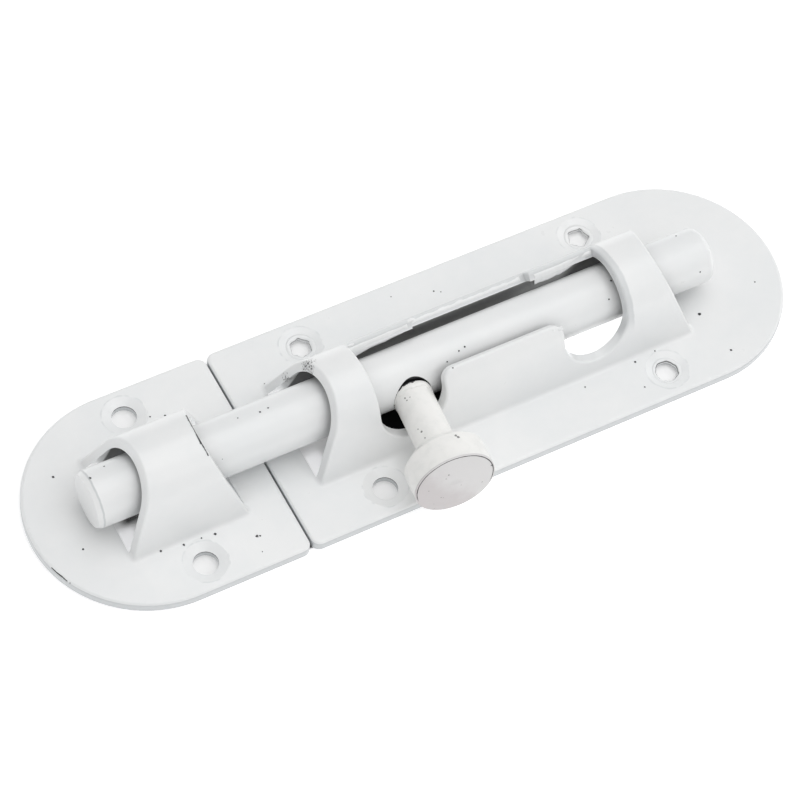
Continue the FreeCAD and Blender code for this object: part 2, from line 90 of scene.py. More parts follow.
# Colours of the finishes
ENAMEL = (0.885, 0.892, 0.892, 1.0)
ENAMEL_SHADE = (0.845, 0.86, 0.865, 1.0)
KNOB_ENAMEL = (0.92, 0.915, 0.895, 1.0)
KNOB_SHADE = (0.87, 0.87, 0.85, 1.0)
DARK_MARK_COLOUR = (0.03, 0.03, 0.035, 1.0)
# Near black of the painted shade inside the bridges, in the gap, in the holes and on the floor under the
# bridges
SHADE_BLACK = (0.010, 0.010, 0.011, 1.0)
FACE_TINT = (0.70, 0.69, 0.69, 1.0)
# The knob face's blotches, and its painted shade on the side away from the light
FACE_BLOTCH_AND_SHADE = (0.56, 0.52, 0.525, 1.0)
SIDE_GREY = (0.60, 0.62, 0.63, 1.0)
FLOOR_WHITE = (0.93, 0.93, 0.93, 1.0)
# The floor's glow: none where shade is painted, less in the screw holes as painted shade, and more in the
# bridges' mouths and the second notch as painted light
UNLIT = (0.0, 0.0, 0.0, 1.0)
FLOOR_GLOW = (0.36, 0.36, 0.36, 1.0)
HOLE_GLOW = (0.12, 0.12, 0.12, 1.0)
MOUTH_GLOW = (0.42, 0.42, 0.43, 1.0)
BACK_MOUTH_GLOW = (0.95, 0.95, 0.95, 1.0)
NOTCH_GLOW = (0.95, 0.95, 0.95, 1.0)

# Gloss of the enamel, and how dark the painted shade is on the bridges' inside faces, and how much less under
# the slot
FULL_COAT = 0.25
COAT_ROUGHNESS = 0.12
ENAMEL_ROUGHNESS = 0.24
PIT_ROUGHNESS = 0.3
MOUTH_DARK = 0.90
SLOT_LIGHT = 0.50

# Floor: its side and its drop below the plates, and how far it looks for what hides the sky, in metres
FLOOR_SIDE = 6.0
FLOOR_DROP = 0.0002
NEAR_SKY = 0.010
WIDE_SKY = 0.030

# Light: the surroundings' strength, and each lamp's name, watts, width and place in metres
SURROUNDINGS = 0.60
LAMPS = (
    ("high_lamp", 2.2, 0.70, (0.12, 0.06, 0.94)),
    ("front_lamp", 0.8, 0.6, (0.24, -0.44, 0.70)),
    ("side_lamp", 0.9, 0.6, (0.80, 0.10, 0.45)),
)

# Pits and specks in the enamel: x, y, z and radius, in millimetres
KEEPER_SPECKS = (
    (-93.0, 11.6, 2.2, 0.30), (-69.3, 16.2, 2.2, 0.18), (-66.4, 15.2, 2.2, 0.26),
    (-69.5, -13.9, 2.2, 0.34), (-62.2, -17.9, 2.2, 0.34), (-61.6, -18.1, 2.2, 0.22),
    (-76.2, -13.5, 2.2, 0.30), (-81.0, -12.9, 2.4, 0.28), (-94.6, -5.9, 2.2, 0.26),
    (-98.4, 14.6, 2.2, 0.20), (-72.4, -13.6, 2.2, 0.20), (-62.8, -21.5, 2.2, 0.16),
)
MAIN_SPECKS = (
    (46.9, -9.7, 2.2, 0.42), (48.3, -20.3, 2.2, 0.28), (28.2, -14.3, 2.2, 0.30),
    (33.4, -13.7, 2.2, 0.20), (15.5, -15.2, 2.2, 0.20), (26.9, -20.5, 2.2, 0.20),
    (62.1, -7.6, 2.2, 0.18), (-44.6, 13.5, 2.2, 0.16), (-13.2, -6.9, 16.6, 0.20),
    (-1.8, 19.1, 2.2, 0.20), (-0.5, 18.3, 2.2, 0.16), (-10.7, 21.6, 2.2, 0.14),
)
BAR_SPECKS = (
    (-89.8, 1.4, 15.1, 0.36), (-52.8, 0.9, 15.2, 0.24), (-50.9, 1.1, 15.2, 0.22),
    (27.7, -1.2, 15.2, 0.24), (25.7, -4.2, 13.6, 0.20), (46.5, 3.4, 14.3, 0.24),
    (47.6, -5.4, 11.9, 0.22), (-9.3, -2.8, 14.6, 0.20), (-7.8, -2.5, 14.7, 0.24),
    (-57.4, 1.6, 15.1, 0.18), (-86.0, 3.0, 14.5, 0.20), (-12.5, -3.8, 14.0, 0.20),
)
KNOB_SPECKS = (
    (-21.4, -23.3, 19.9, 0.36), (-21.7, -22.8, 19.9, 0.30), (-25.2, -16.2, 14.0, 0.28),
    (-25.4, -15.2, 13.6, 0.16), (-25.3, -17.9, 14.2, 0.18), (-24.1, -7.4, 13.1, 0.20),
    (-24.1, -8.1, 13.3, 0.18), (-23.3, -7.9, 13.7, 0.16), (-25.7, -28.2, 15.7, 0.17),
    (-25.4, -28.2, 15.2, 0.12), (-26.9, -28.7, 8.6, 0.16), (-26.4, -28.8, 8.3, 0.13),
    (-29.7, -28.0, 12.0, 0.13), (-18.1, -29.6, 9.7, 0.14), (-22.8, -29.1, 11.1, 0.11),
    (-16.3, -29.2, 14.4, 0.30), (-28.3, -28.6, 6.9, 0.12),
)

# Lumps of paint on the slot's back edge and on the front wall's corner: place and half sizes
LIP_LUMPS = (
    ((-15.4, 7.1, 16.1), (0.9, 0.45, 0.35)),
    ((-23.6, 7.2, 16.0), (1.3, 0.30, 0.25)),
    ((-29.2, 6.9, 16.2), (0.8, 0.30, 0.25)),
    ((18.3, 7.1, 16.0), (1.2, 0.35, 0.25)),
    ((11.8, -7.4, 15.9), (0.7, 0.45, 0.4)),
    ((10.2, -7.2, 16.1), (0.5, 0.3, 0.3)),
)

# The burr's bent parts: places along the slot, each with how far it is bent in there
LEFT_BENDS = ((-30.4, 0.95), (-28.0, 0.78), (-25.5, 0.58), (-21.4, 0.5), (-18.0, 0.4), (-16.5, 0.25))
RIGHT_BENDS = ((13.3, 0.75), (16.0, 0.85), (20.5, 0.7), (25.5, 0.0))

# Places on the left bridge where the enamel is thin and pitted, each with its radius
ROUGH_PLACES = (((-39.7, 5.6, 16.4), 3.0), ((-41.4, 9.0, 9.0), 2.4))

# Dark lines on the keeper, each between two places, with its half width: the first five are a painted shadow
# along the bridge's rim where the bar lies against it, the last three a dark line along a dent at the rounded
# end
KEEPER_RIM_SHADOW_AND_DENT_LINES = (
    ((-67.0, 5.0, 17.5), (-67.3, 3.2, 18.4), 0.50),
    ((-67.3, 3.2, 18.4), (-67.5, 1.6, 18.9), 0.42),
    ((-67.5, 1.6, 18.9), (-67.6, -0.5, 19.0), 0.34),
    ((-67.6, -0.5, 19.0), (-67.7, -2.5, 18.7), 0.38),
    ((-67.7, -2.5, 18.7), (-67.4, -5.0, 17.6), 0.24),
    ((-101.9, -7.0, 2.0), (-101.4, -8.5, 2.0), 0.14),
    ((-101.4, -8.5, 2.0), (-100.9, -9.7, 2.0), 0.18),
    ((-100.9, -9.7, 2.0), (-100.4, -10.9, 1.9), 0.15),
)


class Level:
    """A number that varies over a surface, with the arithmetic of plain numbers."""

    def __init__(self, finish, socket):
        self.finish = finish
        self.socket = socket

    def combine(self, operation, *values):
        inputs = dict(enumerate(values))
        return self.finish.level("ShaderNodeMath", {"operation": operation}, inputs)

    def __add__(self, other):
        return self.combine("ADD", self, other)

    def __radd__(self, other):
        return self.combine("ADD", other, self)

    def __sub__(self, other):
        return self.combine("SUBTRACT", self, other)

    def __rsub__(self, other):
        return self.combine("SUBTRACT", other, self)

    def __mul__(self, other):
        return self.combine("MULTIPLY", self, other)

    def __rmul__(self, other):
        return self.combine("MULTIPLY", other, self)

    def __truediv__(self, other):
        return self.combine("DIVIDE", self, other)

    def __pow__(self, other):
        return self.combine("POWER", self, other)

    def __abs__(self):
        return self.combine("ABSOLUTE", self)

    def most(self, other):
        return self.combine("MAXIMUM", self, other)

    def least(self, other):
        return self.combine("MINIMUM", self, other)

    def rise(self, low, high):
        """0 below low, 1 above high, and a soft step between them."""
        settings = {"interpolation_type": "SMOOTHSTEP"}
        inputs = {"Value": self, "From Min": low, "From Max": high}
        return self.finish.level("ShaderNodeMapRange", settings, inputs)

    def fall(self, low, high):
        """1 below low, 0 above high, and a soft step between them."""
        return 1.0 - self.rise(low, high)


class Finish:
    """A material, built up node by node."""

    def __init__(self, name):
        self.material = bpy.data.materials.new(name)
        self.material.use_nodes = True
        self.tree = self.material.node_tree
        self.tree.nodes.clear()

    def node(self, kind, settings=None, inputs=None):
        """A node with its settings made first, then its sockets given values or links."""
        node = self.tree.nodes.new(kind)
        for name, value in (settings or {}).items():
            setattr(node, name, value)
        for name, value in (inputs or {}).items():
            if isinstance(value, Level):
                value = value.socket
            if isinstance(value, bpy.types.NodeSocket):
                self.tree.links.new(value, node.inputs[name])
            else:
                node.inputs[name].default_value = value
        return node

    def level(self, kind, settings=None, inputs=None, output=0):
        return Level(self, self.node(kind, settings, inputs).outputs[output])

    def vector(self, operation, *values):
        """A vector worked out from two vectors."""
        inputs = dict(enumerate(values))
        return self.node("ShaderNodeVectorMath", {"operation": operation}, inputs).outputs[0]

    def scaled(self, vector, factor):
        """A vector made longer or shorter."""
        return self.node("ShaderNodeVectorMath", {"operation": "SCALE"}, {0: vector, 3: factor}).outputs[0]

    def measure(self, operation, *values):
        """A number worked out from vectors, such as a length."""
        inputs = dict(enumerate(values))
        return self.level("ShaderNodeVectorMath", {"operation": operation}, inputs, 1)

    def millimetres(self):
        """The place on the piece, as a vector in millimetres."""
        return self.scaled(self.node("ShaderNodeTexCoord").outputs["Object"], MM_PER_METRE)

    def facing(self):
        """The way the surface faces, in the piece's own axes."""
        return self.node("ShaderNodeTexCoord").outputs["Normal"]

    def axes(self, vector):
        """The three coordinates of a vector."""
        parts = self.node("ShaderNodeSeparateXYZ", None, {0: vector})
        return [Level(self, socket) for socket in parts.outputs]

    def noise(self, vector, size, detail=2.0, roughness=0.5):
        """Soft noise from 0 to 1, whose features are about size millimetres across."""
        inputs = {"Vector": vector, "Scale": 1.0 / size, "Detail": detail, "Roughness": roughness}
        return self.level("ShaderNodeTexNoise", {"noise_dimensions": "3D"}, inputs)

    def blend(self, share, first, second):
        """A colour between two colours."""
        inputs = {0: share, 6: first, 7: second}
        return self.node("ShaderNodeMix", {"data_type": "RGBA"}, inputs).outputs[2]

    def sky(self, distance, samples):
        """The share of the sky that nothing nearer than the distance hides, from 0 to 1."""
        return self.level("ShaderNodeAmbientOcclusion", {"samples": samples}, {"Distance": distance}, 1)

    def finish(self, colour, roughness, height, coat=FULL_COAT):
        """The closing shader: a painted metal surface."""
        bump = self.node("ShaderNodeBump", None, {"Distance": 1.0 / MM_PER_METRE, "Height": height})
        inputs = {
            "Base Color": colour,
            "Roughness": roughness,
            "Coat Weight": coat,
            "Coat Roughness": COAT_ROUGHNESS,
            "Normal": bump.outputs[0],
        }
        shader = self.node("ShaderNodeBsdfPrincipled", None, inputs)
        self.node("ShaderNodeOutputMaterial", None, {"Surface": shader.outputs[0]})
        return self.material


def strongest(levels):
    """The greatest of several levels at each place."""
    total = levels[0]
    for level in levels[1:]:
        total = total.most(level)
    return total


def from_bar(across, height):
    """How far a place lies above the bar's axis, and how far away from that axis."""
    rise = height - BAR_AXIS_HEIGHT
    return rise, (across * across + rise * rise) ** 0.5


def from_knob(finish, offset):
    """How far out along the knob's axis a place lies, and how far away from that axis."""
    along = finish.measure("DOT_PRODUCT", offset, tuple(KNOB_AXIS))
    foot = finish.scaled(tuple(KNOB_AXIS), along)
    return along, finish.measure("DISTANCE", offset, foot)


def from_hole(along, across, hole):
    """The two steps from a screw hole's middle to a place, and how far away it is."""
    step_along = along - hole[0]
    step_across = across - hole[1]
    return step_along, step_across, (step_along * step_along + step_across * step_across) ** 0.5


def random_pits(finish, place, cell, share, radius):
    """Sparse round pits: in a share of cells one pit of up to the radius, all in millimetres."""
    inputs = {"Vector": place, "Scale": 1.0 / cell, "Randomness": 1.0}
    cells = finish.node("ShaderNodeTexVoronoi", {"feature": "F1"}, inputs)
    chance, size, _ = finish.axes(cells.outputs["Color"])
    chosen = chance.rise(1.0 - share, 1.0 - share + 0.001)
    reach = Level(finish, cells.outputs["Distance"]) * cell
    limit = (size * 0.7 + 0.3) * radius
    return chosen * (reach / limit).fall(0.7, 1.0)


def placed_pits(finish, place, marks):
    """Pits at places on the surface, each given with its radius in millimetres."""
    ragged = finish.noise(place, 0.35, 1.0) * 1.1 + 0.45
    dark_marks = []
    for x, y, z, radius in marks:
        reach = finish.measure("DISTANCE", place, (x, y, z)) / (ragged * radius)
        dark_marks.append(reach.fall(0.6, 1.0))
    return strongest(dark_marks)


def dark_lines(finish, place, lines):
    """Ragged dark lines, each between two places and given with its half width."""
    waver = finish.noise(place, 0.5, 2.0) * 0.8 + 0.5
    parts = []
    for first, last, width in lines:
        along = Vector(last) - Vector(first)
        offset = finish.vector("SUBTRACT", place, first)
        share = finish.measure("DOT_PRODUCT", offset, tuple(along)) * (1.0 / along.length_squared)
        nearest = finish.scaled(tuple(along), share.most(0.0).least(1.0))
        reach = finish.measure("DISTANCE", offset, nearest) / (waver * width)
        parts.append(reach.fall(0.6, 1.0))
    return strongest(parts)


def rough_patch(finish, place, centre, radius):
    """A patch where the enamel is thin and pitted, thickest in the middle."""
    near = finish.measure("DISTANCE", place, centre).fall(radius * 0.3, radius)
    grain = finish.noise(place, 0.4, 3.0, 0.7)
    return (grain + near * 0.12).rise(0.58, 0.74) * near.rise(0.0, 0.5) * 0.85


def inside_ridge(finish, place):
    """How much shade is painted on the faces that look in towards the bar: most at the mouths, less under the
    slot.
    """
    along, across, height = finish.axes(place)
    _, face_across, face_up = finish.axes(finish.facing())
    rise, reach = from_bar(across, height)
    runs = []
    for start, end in DARK_RUNS:
        runs.append(along.rise(start - 0.4, start + 0.4) * along.fall(end - 1.5, end + 1.5))
    deep = strongest(runs).most((rise - 2.0).rise(0.0, 2.0))
    outward = across * face_across + rise * face_up
    inward = (0.0 - outward / reach).rise(0.35, 0.6)
    under = face_up.fall(0.05, 0.25)
    below_slot = along.rise(SLOT[0], SLOT[0] + 3.0) * along.fall(SLOT[1] - 4.0, SLOT[1])
    deep = deep * (MOUTH_DARK - below_slot * across.rise(2.0, 4.0) * SLOT_LIGHT)
    return inward * under * deep * abs(across).fall(RIDGE_HALF_WIDTH, RIDGE_HALF_WIDTH + 0.3)


def rolled_rim(finish, place):
    """1 on the worn, rolled rim of the slot's far end and of the back lip, 0 elsewhere."""
    along, across, height = finish.axes(place)
    _, reach = from_bar(across, height)
    waver = finish.noise(place, 2.5, 2.0) * 0.8
    far = abs(along - SLOT[1]).fall(RIM_GREY_WIDTH - 0.7 + waver, RIM_GREY_WIDTH - 0.2 + waver)
    far = far * abs(across).fall(9.5, 11.0) * height.rise(3.2, 4.4)
    lip = across.rise(5.4, 6.6) * height.rise(9.5, 10.5)
    lip = lip * along.rise(SLOT[0] - 2.0, SLOT[0] + 2.0) * along.fall(SLOT[1], SLOT[1] + 2.0)
    return far.most(lip * 0.8) * reach.rise(8.25, 8.45)


def hole_wall(finish, place, holes):
    """1 on the upper part of the screw holes' walls, where shade is painted as the dark arc seen from above.
    """
    along, across, height = finish.axes(place)
    face_along, face_across, _ = finish.axes(finish.facing())
    walls = []
    for hole in holes:
        step_along, step_across, reach = from_hole(along, across, hole)
        inward = 0.0 - (step_along * face_along + step_across * face_across) / reach
        walls.append(inward.rise(0.6, 0.8) * reach.fall(HOLE_RADIUS + 0.02, HOLE_RADIUS + 0.10))
    return strongest(walls) * height.rise(*HOLE_SHADE)


def sink_rings(finish, place, holes):
    """A faint, uneven grey line round each countersink."""
    along, across, height = finish.axes(place)
    waver = finish.noise(place, 2.0, 2.0)
    rings = []
    for hole in holes:
        _, _, reach = from_hole(along, across, hole)
        rings.append(abs(reach - RING_RADIUS - waver * 0.5 + 0.25).fall(0.06, 0.26))
    return strongest(rings) * waver.rise(0.42, 0.64) * height.rise(1.6, 1.8) * height.fall(2.3, 2.5)


def side_face(finish, place):
    """1 on the low side faces of the plates, which are painted greyer as painted shade."""
    _, _, height = finish.axes(place)
    _, _, face_up = finish.axes(finish.facing())
    return abs(face_up).fall(0.45, 0.75) * height.fall(1.75, 2.0)


def in_recess(finish, place):
    """1 inside the hole of the bar that the knob's stem stands in, where shade is painted."""
    offset = finish.vector("SUBTRACT", place, tuple(KNOB_ROOT))
    along, reach = from_knob(finish, offset)
    return along.rise(3.5, 4.0) * reach.fall(RECESS_RADIUS + 0.02, RECESS_RADIUS + 0.10)


def nose_line(finish, place):
    """The thin grey line round the nose where its chamfer starts."""
    along, _, _ = finish.axes(place)
    waver = finish.noise(place, 1.5, 2.0)
    return abs(along - NOSE_EDGE - waver * 0.3 + 0.15).fall(0.08, 0.30)


def in_plate_gap(finish, place):
    """1 on the two edges that face each other between the plates, below their rounded rims, where shade is
    painted.
    """
    along, _, height = finish.axes(place)
    start, end = PLATE_GAP
    near = (along - (start - GAP_MARGIN)).rise(0.0, 0.1) * (end + GAP_MARGIN - along).rise(0.0, 0.1)
    return near * height.fall(0.3, 0.7)


def painted_sheet_shade(finish, place, holes):
    """1 where shade is painted on a plate: inside the bridges, in the gap and on the screw holes' walls."""
    walls = hole_wall(finish, place, holes)
    return strongest([inside_ridge(finish, place), in_plate_gap(finish, place), walls])


def enamel(name, form, marks, holes=(), lines=(), patches=(), worn_rim=False):
    """Thick white enamel over a pressed or turned piece, with pits and a faint uneven gloss."""
    finish = Finish(name)
    place = finish.millimetres()
    cloud = finish.noise(place, 22.0, 3.0)
    mottle = finish.noise(place, 4.0, 4.0, 0.6)
    peel = finish.noise(place, 1.6, 2.0)
    wave = finish.noise(place, 7.0, 2.0)
    dark_mark_parts = [random_pits(finish, place, 5.0, 0.05, 0.18), random_pits(finish, place, 2.2, 0.02, 0.10)]
    dark_mark_parts.append(placed_pits(finish, place, marks))
    # On the keeper the lines are a painted shadow along the bridge's rim where the bar lies against it, and a
    # line at a dent
    if lines:
        dark_mark_parts.append(dark_lines(finish, place, lines))
    for centre, radius in patches:
        dark_mark_parts.append(rough_patch(finish, place, centre, radius))
    dark_marks = strongest(dark_mark_parts)
    shade = (cloud * 0.7 + mottle * 0.3).rise(0.35, 0.68)
    colour = finish.blend(shade, ENAMEL, ENAMEL_SHADE)
    colour = finish.blend(dark_marks, colour, DARK_MARK_COLOUR)
    if form == "sheet":
        # The plates' low side faces are painted greyer as painted shade; the countersink rings are faint grey
        # lines
        grey = side_face(finish, place).most(sink_rings(finish, place, holes) * 0.4)
        if worn_rim:
            grey = grey.most(rolled_rim(finish, place) * 0.65)
        colour = finish.blend(grey, colour, SIDE_GREY)
        # Painted shade inside the bridges, in the gap and on the screw holes' walls
        painted_shade = painted_sheet_shade(finish, place, holes)
    elif form == "bar":
        colour = finish.blend(nose_line(finish, place) * 0.8, colour, SIDE_GREY)
        # Painted shade in the hole that the knob's stem stands in
        painted_shade = in_recess(finish, place)
    else:
        # Painted shade on the upper walls of the paint in the screw holes
        painted_shade = hole_wall(finish, place, holes) * 0.8
    colour = finish.blend(painted_shade, colour, SHADE_BLACK)
    height = peel * 0.02 + wave * 0.10 - dark_marks * 0.15
    roughness = mottle * 0.12 + ENAMEL_ROUGHNESS + dark_marks * PIT_ROUGHNESS + painted_shade * PIT_ROUGHNESS
    return finish.finish(colour, roughness, height, (1.0 - painted_shade) * FULL_COAT)


def knob_enamel(name, marks):
    """Thinner enamel on the knob: a duller, blotchy face with painted shade away from the light and a dark
    edge line.
    """
    finish = Finish(name)
    place = finish.millimetres()
    offset = finish.vector("SUBTRACT", place, tuple(KNOB_ROOT))
    along, reach = from_knob(finish, offset)
    _, _, height_up = finish.axes(offset)
    mottle = finish.noise(place, 2.2, 4.0, 0.6)
    blotch = finish.noise(place, 5.5, 3.0, 0.6)
    waver = finish.noise(place, 1.2, 2.0)
    dark_marks = random_pits(finish, place, 2.0, 0.12, 0.14).most(placed_pits(finish, place, marks))
    face = along.rise(KNOB_REACH - 0.8, KNOB_REACH - 0.5)
    edge_off = abs(reach - (HEAD_RADIUS - 0.35)) / (waver * 0.16 + 0.04)
    edge = edge_off.fall(0.5, 1.0) * face * height_up.rise(-0.6, 1.8)
    # The face's side away from the light is painted darker, as painted shade, and mixed with the blotches
    shaded_side = finish.measure("DOT_PRODUCT", offset, tuple(FACE_LIGHT_SIDE)).fall(-7.0, 5.5)
    colour = finish.blend(mottle.rise(0.4, 0.7), KNOB_ENAMEL, KNOB_SHADE)
    colour = finish.blend(face, colour, FACE_TINT)
    blotch_and_shade = face * (blotch * 0.6 + shaded_side * 0.6).rise(0.45, 0.85) * 0.7
    colour = finish.blend(blotch_and_shade, colour, FACE_BLOTCH_AND_SHADE)
    tear = finish.noise(place, 1.1, 3.0, 0.6)
    across_root = finish.measure("DOT_PRODUCT", offset, tuple(TORN_SIDE))
    torn = (along - tear * 1.6 - across_root * 0.16).fall(TORN_END, TORN_END + 0.1)
    dark = strongest([dark_marks * 0.75, edge, torn])
    colour = finish.blend(dark, colour, DARK_MARK_COLOUR)
    height = waver * 0.03 + blotch * 0.08 - dark * 0.12
    roughness = mottle * 0.16 + face * 0.16 + ENAMEL_ROUGHNESS + dark * PIT_ROUGHNESS
    return finish.finish(colour, roughness, height)


def dress(node, material):
    """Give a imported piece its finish."""
    mesh = nodes[node].data
    mesh.materials.clear()
    mesh.materials.append(material)


def place_piece(name, form, body, material):
    """Turn a finished form into a smooth piece that rides on a body."""
    mesh = bpy.data.meshes.new(name)
    form.to_mesh(mesh)
    form.free()
    mesh.materials.append(material)
    for face in mesh.polygons:
        face.use_smooth = True
    piece = bpy.data.objects.new(name, mesh)
    bpy.context.scene.collection.objects.link(piece)
    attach(piece, body)


def loft_piece(name, rings, body, material, closed=False):
    """A piece of thick paint, lofted through rings of points given in millimetres."""
    form = bmesh.new()
    loops = [[form.verts.new(point / MM_PER_METRE) for point in ring] for ring in rings]
    count = len(loops[0])
    pairs = list(zip(loops, loops[1:]))
    if closed:
        pairs.append((loops[-1], loops[0]))
    for first, second in pairs:
        for index in range(count):
            after = (index + 1) % count
            form.faces.new((first[index], first[after], second[after], second[index]))
    if not closed:
        form.faces.new(loops[0])
        form.faces.new(loops[-1])
    bmesh.ops.recalc_face_normals(form, faces=form.faces)
    place_piece(name, form, body, material)


def hole_paint(name, x, y, corners, turn, opening):
    """Paint that ran down into a screw hole and left it with an uneven, many-sided opening."""
    rings = []
    for step in range(HOLE_PAINT_SIDES):
        angle = 2 * math.pi * step / HOLE_PAINT_SIDES
        part = (angle - turn) % (2 * math.pi / corners) - math.pi / corners
        inner = opening * math.cos(math.pi / corners) / math.cos(part)
        inner += 0.16 * noise.noise(Vector((3 * math.cos(angle), 3 * math.sin(angle), x)))
        inner = min(inner, HOLE_RADIUS - 0.05)
        # Radius and height of each point of the section
        section = (
            (HOLE_RADIUS + 0.05, 0.70),
            (inner + 0.05, 0.80),
            (inner, 1.10),
            (inner + 0.10, 1.38),
            (HOLE_RADIUS, 1.56),
            (HOLE_RADIUS + 0.55, 1.70),
            (HOLE_RADIUS + 0.60, 1.50),
        )
        toward = Vector((math.cos(angle), math.sin(angle), 0.0))
        rings.append([Vector((x, y, height)) + toward * radius for radius, height in section])
    loft_piece(name, rings, "main", paint, closed=True)


def root_paint(name):
    """Torn enamel round the knob's stem, where it comes out of the bar."""
    side = KNOB_AXIS.cross(Vector((0, 0, 1))).normalized()
    over = side.cross(KNOB_AXIS)
    rings = []
    for step in range(ROOT_PAINT_SIDES):
        angle = 2 * math.pi * step / ROOT_PAINT_SIDES
        toward = math.cos(angle) * side + math.sin(angle) * over
        tear = noise.noise(Vector((4 * math.cos(angle), 4 * math.sin(angle), 7.0)))
        tear += 0.6 * noise.noise(Vector((11 * math.cos(angle), 11 * math.sin(angle), 2.0)))
        top = 6.9 + 0.55 * tear
        thick = 0.13 + 0.05 * tear
        # How far each point of the section stands off the stem, and how far out along the knob it is
        section = ((-0.05, 5.45), (0.02, 5.5), (thick, 6.0), (thick, top - 0.15), (-0.05, top))
        rings.append([KNOB_ROOT + KNOB_AXIS * reach + toward * (STEM_RADIUS + out) for out, reach in section])
    loft_piece(name, rings, "bolt", knob_paint, closed=True)


def lip_burr(name, start, end, angle, depth, bends):
    """The burr that the punch left along the back edge of the slot, bent in towards the bar in parts."""
    rings = []
    steps = round((end - start) / BURR_STEP)
    for step in range(steps + 1):
        x = start + (end - start) * step / steps
        ragged = 0.5 + 0.5 * noise.noise(Vector((x * 0.5, 3.0, angle)))
        ragged = (ragged + 0.12 * noise.noise(Vector((x * 1.7, 8.0, angle)))) ** 2
        bend = bend_at(x, bends) * (1.0 + 0.12 * noise.noise(Vector((x * 0.8, 5.0, angle))))
        tip = angle - (0.04 + depth * ragged) / RIDGE_MIDDLE_RADIUS
        # How far each point stands out from the sheet's middle, and its angle from the crown
        straight = ((-0.75, angle + 0.03), (-0.35, tip + 0.01), (0.0, tip), (0.45, tip + 0.015))
        bent = ((-0.75, angle + 0.03), (-2.70, angle + 0.14), (-2.50, angle + 0.09), (-0.50, angle - 0.03))
        section = [
            (out + (bent_out - out) * bend, turn + (bent_turn - turn) * bend)
            for (out, turn), (bent_out, bent_turn) in zip(straight, bent)
        ]
        section.append((0.8, angle + 0.03))
        ring = []
        for out, turn in section:
            radius = RIDGE_MIDDLE_RADIUS + out
            ring.append(Vector((x, radius * math.sin(turn), BAR_AXIS_HEIGHT + radius * math.cos(turn))))
        rings.append(ring)
    loft_piece(name, rings, "main", paint)


def bend_at(x, bends):
    """How far the burr is bent in at a place along the slot, from 0 to 1."""
    for (first, share), (last, next_share) in zip(bends, bends[1:]):
        if first <= x <= last:
            return share + (next_share - share) * (x - first) / (last - first)
    return 0.0


def paint_lumps(name, lumps):
    """Small lumps of gathered paint, each at a place with its three half sizes."""
    form = bmesh.new()
    for centre, sizes in lumps:
        made = bmesh.ops.create_icosphere(form, subdivisions=3, radius=1.0)
        for vert in made["verts"]:
            bulge = 1.0 + 0.30 * noise.noise(vert.co * 1.6 + Vector(centre))
            spread = Vector([part * wide for part, wide in zip(vert.co, sizes)])
            vert.co = (Vector(centre) + bulge * spread) / MM_PER_METRE
    place_piece(name, form, "main", paint)


def floor_dark(along, across, notch, near_sky):
    """1 where shade is painted on the floor: under the bridges and in the gap between the plates."""
    below_main = along.rise(-35.0, -30.0) * along.fall(43.0, 47.0)
    below_main = below_main * abs(across).fall(RIDGE_HALF_WIDTH - 2.0, RIDGE_HALF_WIDTH - 1.0) * (1.0 - notch)
    below_keeper = along.rise(-86.0, -83.0) * along.fall(-72.0, -69.0) * abs(across).fall(2.5, 4.5)
    gap = abs(along - sum(PLATE_GAP) / 2).fall(0.6, 0.8) * abs(across).fall(23.6, 24.2)
    closed_in = near_sky.fall(0.34, 0.46)
    return below_main.most(below_keeper.most(gap) * closed_in), gap * closed_in


def floor_mouths(along, across):
    """1 on the floor that shows through the bridges' mouths, before the bar and behind it, where light is
    painted as glow.
    """
    runs = [along.rise(start - 0.5, start) * along.fall(end, end + 2.0) for start, end in MOUTH_FLOORS]
    mouth = strongest(runs) * abs(across).fall(12.0, 13.0)
    return mouth * (0.0 - across).rise(2.5, 5.5), mouth * across.rise(3.0, 5.0)


def below_plates(along, across):
    """1 within the outline of the two plates, set in from their edge."""
    half_width = PLATE_WIDTH / 2
    straight = (PLATES[1] - PLATES[0]) / 2 - half_width
    past = (abs(along - sum(PLATES) / 2) - straight).most(0.0)
    return ((past * past + across * across) ** 0.5).fall(half_width - 3.0, half_width - 1.0)


